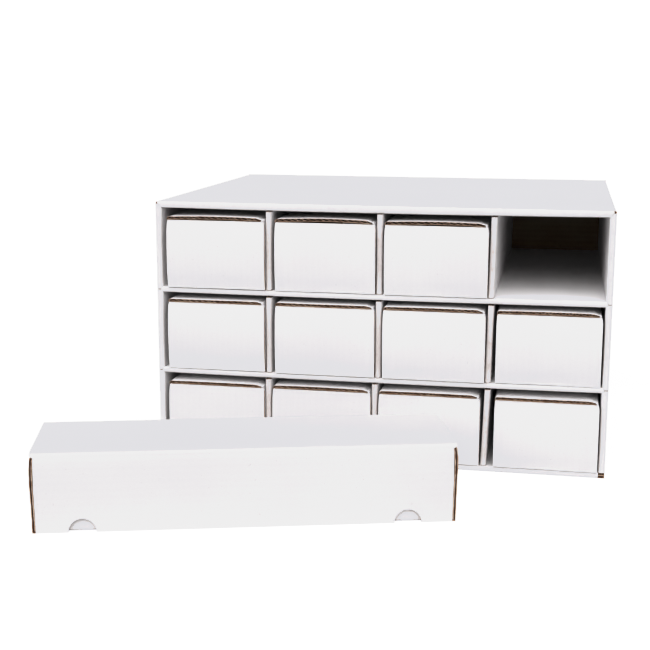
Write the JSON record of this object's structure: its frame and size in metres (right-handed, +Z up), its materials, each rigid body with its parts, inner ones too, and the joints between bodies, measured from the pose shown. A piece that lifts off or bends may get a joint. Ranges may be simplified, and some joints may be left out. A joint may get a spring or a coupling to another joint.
{
  "type": "trading card drawer box",
  "caption": "Open-fronted white corrugated cabinet of slots, with lidded card boxes that slide in as drawers and one that lies on the table in front.",
  "frame": {"origin": "the middle of the cabinet's underside", "axes": "+Z up; the open front and its drawers face -Y; +X to the right of someone who looks at the drawers"},
  "size_m": [0.5303, 0.6481, 0.2695],
  "materials": {
    "white_board": "matte",
    "kraft_board": "matte"
  },
  "bodies": {
    "cabinet": {"back_flap_left": "kraft_board", "back_flap_lower": "white_board", "back_flap_right": "kraft_board", "back_flap_upper": "white_board", "bottom_panel": "white_board", "bottom_roll_over": "white_board", "divider_bottom_1": "white_board", "divider_bottom_2": "white_board", "divider_bottom_3": "white_board", "divider_middle_1": "white_board", "divider_middle_2": "white_board", "divider_middle_3": "white_board", "divider_top_1": "white_board", "divider_top_2": "white_board", "divider_top_3": "white_board", "left_roll_over_bottom": "white_board", "left_roll_over_middle": "white_board", "left_roll_over_top": "white_board", "left_wall": "white_board", "lower_shelf": "white_board", "right_roll_over_bottom": "white_board", "right_roll_over_middle": "white_board", "right_roll_over_top": "white_board", "right_wall": "white_board", "top_panel": "white_board", "top_roll_over": "white_board", "upper_shelf": "white_board"},
    "drawer_bottom_1": {"drawer_bottom_1_lid": "white_board", "drawer_bottom_1_tray": "white_board"},
    "drawer_bottom_2": {"drawer_bottom_2_lid": "white_board", "drawer_bottom_2_tray": "white_board"},
    "drawer_bottom_3": {"drawer_bottom_3_lid": "white_board", "drawer_bottom_3_tray": "white_board"},
    "drawer_bottom_4": {"drawer_bottom_4_lid": "white_board", "drawer_bottom_4_tray": "white_board"},
    "drawer_middle_1": {"drawer_middle_1_lid": "white_board", "drawer_middle_1_tray": "white_board"},
    "drawer_middle_2": {"drawer_middle_2_lid": "white_board", "drawer_middle_2_tray": "white_board"},
    "drawer_middle_3": {"drawer_middle_3_lid": "white_board", "drawer_middle_3_tray": "white_board"},
    "drawer_middle_4": {"drawer_middle_4_lid": "white_board", "drawer_middle_4_tray": "white_board"},
    "drawer_top_1": {"drawer_top_1_lid": "white_board", "drawer_top_1_tray": "white_board"},
    "drawer_top_2": {"drawer_top_2_lid": "white_board", "drawer_top_2_tray": "white_board"},
    "drawer_top_3": {"drawer_top_3_lid": "white_board", "drawer_top_3_tray": "white_board"},
    "loose_drawer": {"loose_drawer_tray": "white_board"},
    "loose_drawer_lid": {"loose_drawer_lid": "white_board"}
  },
  "joints": [
    {"name": "drawer_bottom_1_slide", "type": "slide", "parent": "cabinet", "child": "drawer_bottom_1", "axis": [0, -1, 0], "range_m": [0, 0.098]},
    {"name": "drawer_bottom_2_slide", "type": "slide", "parent": "cabinet", "child": "drawer_bottom_2", "axis": [0, -1, 0], "range_m": [0, 0.066]},
    {"name": "drawer_bottom_3_slide", "type": "slide", "parent": "cabinet", "child": "drawer_bottom_3", "axis": [0, -1, 0], "range_m": [0, 0.043]},
    {"name": "drawer_bottom_4_slide", "type": "slide", "parent": "cabinet", "child": "drawer_bottom_4", "axis": [0, -1, 0], "range_m": [0, 0.358]},
    {"name": "drawer_middle_1_slide", "type": "slide", "parent": "cabinet", "child": "drawer_middle_1", "axis": [0, -1, 0], "range_m": [0, 0.358]},
    {"name": "drawer_middle_2_slide", "type": "slide", "parent": "cabinet", "child": "drawer_middle_2", "axis": [0, -1, 0], "range_m": [0, 0.358]},
    {"name": "drawer_middle_3_slide", "type": "slide", "parent": "cabinet", "child": "drawer_middle_3", "axis": [0, -1, 0], "range_m": [0, 0.358]},
    {"name": "drawer_middle_4_slide", "type": "slide", "parent": "cabinet", "child": "drawer_middle_4", "axis": [0, -1, 0], "range_m": [0, 0.358]},
    {"name": "drawer_top_1_slide", "type": "slide", "parent": "cabinet", "child": "drawer_top_1", "axis": [0, -1, 0], "range_m": [0, 0.358]},
    {"name": "drawer_top_2_slide", "type": "slide", "parent": "cabinet", "child": "drawer_top_2", "axis": [0, -1, 0], "range_m": [0, 0.358]},
    {"name": "drawer_top_3_slide", "type": "slide", "parent": "cabinet", "child": "drawer_top_3", "axis": [0, -1, 0], "range_m": [0, 0.358]},
    {"name": "loose_drawer_slide", "type": "slide", "parent": "cabinet", "child": "loose_drawer", "axis": [0, -1, 0], "range_m": [0, 0.45]},
    {"name": "loose_lid_hinge", "type": "hinge", "parent": "loose_drawer", "child": "loose_drawer_lid", "pos_m": [-0.11253, -0.30113, 0.0721], "axis": [-0.96, -0.2798, 0], "range_deg": [0, 110]}
  ]
}
